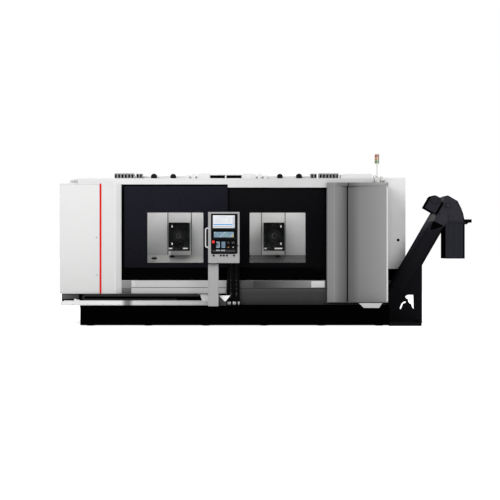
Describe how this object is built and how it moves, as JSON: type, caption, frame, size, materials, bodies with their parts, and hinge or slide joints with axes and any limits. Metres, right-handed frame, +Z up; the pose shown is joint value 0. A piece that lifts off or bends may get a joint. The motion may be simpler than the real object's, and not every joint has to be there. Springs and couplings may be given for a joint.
{
  "type": "horizontal machining centre",
  "caption": "Horizontal machining centre: mirrored work cells behind sliding doors, travelling control panel, electrical cabinet and chip conveyor.",
  "frame": {"origin": "on the floor under the middle of the whole machine, conveyor included", "axes": "+X along the front towards the chip conveyor, +Y from the operator to the rear, +Z up"},
  "size_m": [8.0056, 3.147, 3.299],
  "materials": {
    "white_paint": "fine structured light grey-white powder coat",
    "grey_paint": "satin mid grey powder coat",
    "silver_paint": "satin light grey powder coat",
    "door_paint": "semi-gloss blue-black lacquer",
    "black_paint": "satin black coat",
    "anthracite_paint": "fine structured anthracite coat",
    "red_trim": "gloss red",
    "steel": "machined",
    "cast": "light grey machine paint",
    "glass": "clear laminated pane",
    "black_plastic": "fine grain",
    "key_plastic": "foil keys on black front",
    "screen_plastic": "black bezel with glass screen",
    "white_plastic": "smooth",
    "red_plastic": "smooth",
    "lamp_plastic": "coloured lenses",
    "chain_plastic": "moulded links",
    "rubber": "smooth hose"
  },
  "bodies": {
    "machine": {"machine_bed": "black_paint", "leveling_feet": "steel", "front_rail": "white_paint", "energy_chain": "chain_plastic", "left_apron": "silver_paint", "right_apron": "grey_paint", "left_end_housing": "white_paint", "red_trim": "red_trim", "roof_fascia": "grey_paint", "rear_housing": "white_paint", "right_end_cover": "white_paint", "pump_unit": "black_paint", "cabinet_body": "white_paint", "cabinet_tray": "silver_paint", "roof_cable_guides": "black_plastic", "roof_drives": "grey_paint", "extraction_unit": "grey_paint", "fluid_box": "silver_paint", "signal_tower": "lamp_plastic", "conveyor_casing": "anthracite_paint", "conveyor_belt": "steel", "conveyor_stand": "anthracite_paint", "conveyor_drive": "anthracite_paint", "discharge_chute": "anthracite_paint", "cell_frame": "cast", "utility_post": "black_paint", "service_hoses": "rubber"},
    "conveyor_shaft": {"conveyor_shaft": "steel"},
    "access_door": {"access_door": "white_paint"},
    "upper_lock": {"upper_lock": "steel"},
    "lower_lock": {"lower_lock": "steel"},
    "cabinet_left_leaf": {"cabinet_left_leaf": "grey_paint"},
    "cabinet_right_leaf": {"cabinet_right_leaf": "grey_paint"},
    "left_door": {"left_door": "door_paint", "left_window": "glass"},
    "right_door": {"right_door": "door_paint", "right_window": "glass"},
    "carriage": {"panel_carriage": "white_paint", "panel_pillar": "silver_paint"},
    "panel": {"panel_housing": "silver_paint", "display_unit": "screen_plastic", "keyboard_unit": "key_plastic", "machine_panel": "key_plastic", "panel_handle": "white_plastic"},
    "emergency_stop": {"emergency_stop": "red_plastic"},
    "feed_knob": {"feed_knob": "black_plastic"},
    "spindle_knob": {"spindle_knob": "black_plastic"},
    "push_button_1": {"push_button_1": "black_plastic"},
    "push_button_2": {"push_button_2": "black_plastic"},
    "push_button_3": {"push_button_3": "black_plastic"},
    "push_button_4": {"push_button_4": "black_plastic"},
    "push_button_5": {"push_button_5": "black_plastic"},
    "left_head_slide": {"left_head_slide": "silver_paint"},
    "left_ram": {"left_ram": "black_paint"},
    "left_spindle": {"left_spindle": "steel"},
    "left_table": {"left_table": "steel"},
    "right_head_slide": {"right_head_slide": "silver_paint"},
    "right_ram": {"right_ram": "black_paint"},
    "right_spindle": {"right_spindle": "steel"},
    "right_table": {"right_table": "steel"}
  },
  "joints": [
    {"name": "access_door_hinge", "type": "hinge", "parent": "machine", "child": "access_door", "pos_m": [-3.98876, -1.154, 0.607], "axis": [0, 0, -1], "range_deg": [0, 110]},
    {"name": "upper_lock_turn", "type": "hinge", "parent": "access_door", "child": "upper_lock", "pos_m": [-3.29476, -1.1665, 1.686], "axis": [0, 1, 0], "range_deg": [0, 90]},
    {"name": "lower_lock_turn", "type": "hinge", "parent": "access_door", "child": "lower_lock", "pos_m": [-3.29476, -1.1665, 0.964], "axis": [0, 1, 0], "range_deg": [0, 90]},
    {"name": "cabinet_left_hinge", "type": "hinge", "parent": "machine", "child": "cabinet_left_leaf", "pos_m": [1.12124, -1.1515, 0.432], "axis": [0, 0, -1], "range_deg": [0, 105]},
    {"name": "cabinet_right_hinge", "type": "hinge", "parent": "machine", "child": "cabinet_right_leaf", "pos_m": [2.26124, -1.1515, 0.432], "axis": [0, 0, 1], "range_deg": [0, 105]},
    {"name": "left_door_slide", "type": "slide", "parent": "machine", "child": "left_door", "axis": [1, 0, 0], "range_m": [0, 1.85]},
    {"name": "right_door_slide", "type": "slide", "parent": "machine", "child": "right_door", "axis": [-1, 0, 0], "range_m": [0, 1.85]},
    {"name": "panel_travel", "type": "slide", "parent": "machine", "child": "carriage", "axis": [-1, 0, 0], "range_m": [0, 2.3], "deforming": ["energy_chain"]},
    {"name": "panel_swivel", "type": "hinge", "parent": "carriage", "child": "panel", "pos_m": [-1.06376, -1.4445, 1.2], "axis": [0, 0, -1], "range_deg": [-15, 75]},
    {"name": "emergency_stop_press", "type": "slide", "parent": "panel", "child": "emergency_stop", "axis": [0, 1, 0], "range_m": [0, 0.006]},
    {"name": "feed_knob_turn", "type": "hinge", "parent": "panel", "child": "feed_knob", "pos_m": [-0.77876, -1.5265, 1.579], "axis": [0, 1, 0], "range_deg": [-135, 135]},
    {"name": "spindle_knob_turn", "type": "hinge", "parent": "panel", "child": "spindle_knob", "pos_m": [-0.68876, -1.5265, 1.579], "axis": [0, 1, 0], "range_deg": [-135, 135]},
    {"name": "push_button_1_press", "type": "slide", "parent": "panel", "child": "push_button_1", "axis": [0, 1, 0], "range_m": [0, 0.004], "stiffness_N_per_m": 400},
    {"name": "push_button_2_press", "type": "slide", "parent": "panel", "child": "push_button_2", "axis": [0, 1, 0], "range_m": [0, 0.004], "stiffness_N_per_m": 400},
    {"name": "push_button_3_press", "type": "slide", "parent": "panel", "child": "push_button_3", "axis": [0, 1, 0], "range_m": [0, 0.004], "stiffness_N_per_m": 400},
    {"name": "push_button_4_press", "type": "slide", "parent": "panel", "child": "push_button_4", "axis": [0, 1, 0], "range_m": [0, 0.004], "stiffness_N_per_m": 400},
    {"name": "push_button_5_press", "type": "slide", "parent": "panel", "child": "push_button_5", "axis": [0, 1, 0], "range_m": [0, 0.004], "stiffness_N_per_m": 400},
    {"name": "left_head_travel", "type": "slide", "parent": "machine", "child": "left_head_slide", "axis": [0, 0, 1], "range_m": [-0.06, 0.35]},
    {"name": "left_ram_travel", "type": "slide", "parent": "left_head_slide", "child": "left_ram", "axis": [0, -1, 0], "range_m": [0, 0.26]},
    {"name": "left_spindle_turn", "type": "hinge", "parent": "left_ram", "child": "left_spindle", "pos_m": [-1.75276, -0.5465, 1.714], "axis": [0, 1, 0], "continuous": true},
    {"name": "left_table_travel", "type": "slide", "parent": "machine", "child": "left_table", "axis": [1, 0, 0], "range_m": [-0.25, 0.25]},
    {"name": "right_head_travel", "type": "slide", "parent": "machine", "child": "right_head_slide", "axis": [0, 0, 1], "range_m": [-0.06, 0.35]},
    {"name": "right_ram_travel", "type": "slide", "parent": "right_head_slide", "child": "right_ram", "axis": [0, -1, 0], "range_m": [0, 0.26]},
    {"name": "right_spindle_turn", "type": "hinge", "parent": "right_ram", "child": "right_spindle", "pos_m": [0.12324, -0.5465, 1.714], "axis": [0, 1, 0], "continuous": true},
    {"name": "right_table_travel", "type": "slide", "parent": "machine", "child": "right_table", "axis": [1, 0, 0], "range_m": [-0.25, 0.25]},
    {"name": "conveyor_shaft_turn", "type": "hinge", "parent": "machine", "child": "conveyor_shaft", "pos_m": [3.51576, -0.5965, 2.304], "axis": [0, 1, 0], "continuous": true}
  ]
}
